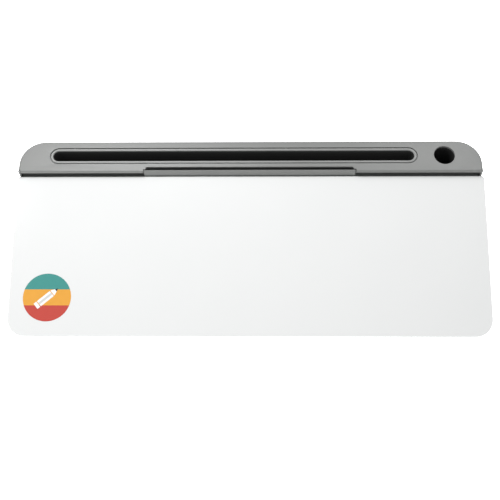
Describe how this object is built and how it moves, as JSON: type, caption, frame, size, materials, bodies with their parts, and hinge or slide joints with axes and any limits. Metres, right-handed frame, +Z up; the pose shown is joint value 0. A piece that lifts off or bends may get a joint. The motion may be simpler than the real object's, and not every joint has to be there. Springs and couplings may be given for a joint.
{
  "type": "tablet stand",
  "caption": "Slanted white glass writing pad on a grey base with a tablet slot, a pen hole and a top that slides forward over a storage tray.",
  "frame": {"origin": "on the desk under the middle of the overall box", "axes": "+X to the user's right along the tablet slot, +Y to the rear, +Z up; the user sits on the -Y side"},
  "size_m": [0.457, 0.1901, 0.0514],
  "materials": {
    "grey_shell": "fine textured satin grey",
    "grey_trim": "smooth satin grey",
    "black_soft": "soft black",
    "black_plastic": "black moulded",
    "dark_tray": "dark grey moulded",
    "rail_plastic": "natural acetal",
    "runner_plastic": "black acetal",
    "screw_steel": "zinc plated",
    "magnet_plating": "nickel plated",
    "rubber_black": "matte black",
    "white_glass": "clear tempered glass over white film",
    "white_film": "white coat",
    "foam_tape": "closed cell foam",
    "carrier_plastic": "moulded grey"
  },
  "bodies": {
    "base": {"base_tub": "grey_shell", "rear_cover": "grey_shell", "finger_liner": "black_soft", "slot_bezel": "grey_trim", "slot_liner_front": "black_soft", "slot_liner_rear": "black_soft", "pen_cup": "black_plastic", "storage_tray": "dark_tray", "guide_rail_left": "rail_plastic", "guide_rail_right": "rail_plastic", "rail_screws": "screw_steel", "cover_screws": "screw_steel", "liner_screws": "screw_steel", "catch_magnets": "magnet_plating", "close_bumpers": "rubber_black", "foot_front_left": "rubber_black", "foot_front_middle": "rubber_black", "foot_front_right": "rubber_black", "foot_rear_left": "rubber_black", "foot_rear_middle": "rubber_black", "foot_rear_right": "rubber_black"},
    "sliding_top": {"glass_panel": "white_glass", "backing_sheet": "white_film", "mounting_tapes": "foam_tape", "top_carrier": "carrier_plastic", "pull_bar": "grey_shell", "pull_bar_screws": "screw_steel", "runner_left": "runner_plastic", "runner_right": "runner_plastic", "runner_screws": "screw_steel", "catch_plates": "screw_steel"}
  },
  "joints": [
    {"name": "top_slide", "type": "slide", "parent": "base", "child": "sliding_top", "axis": [0, -1, 0], "range_m": [0, 0.06]}
  ]
}
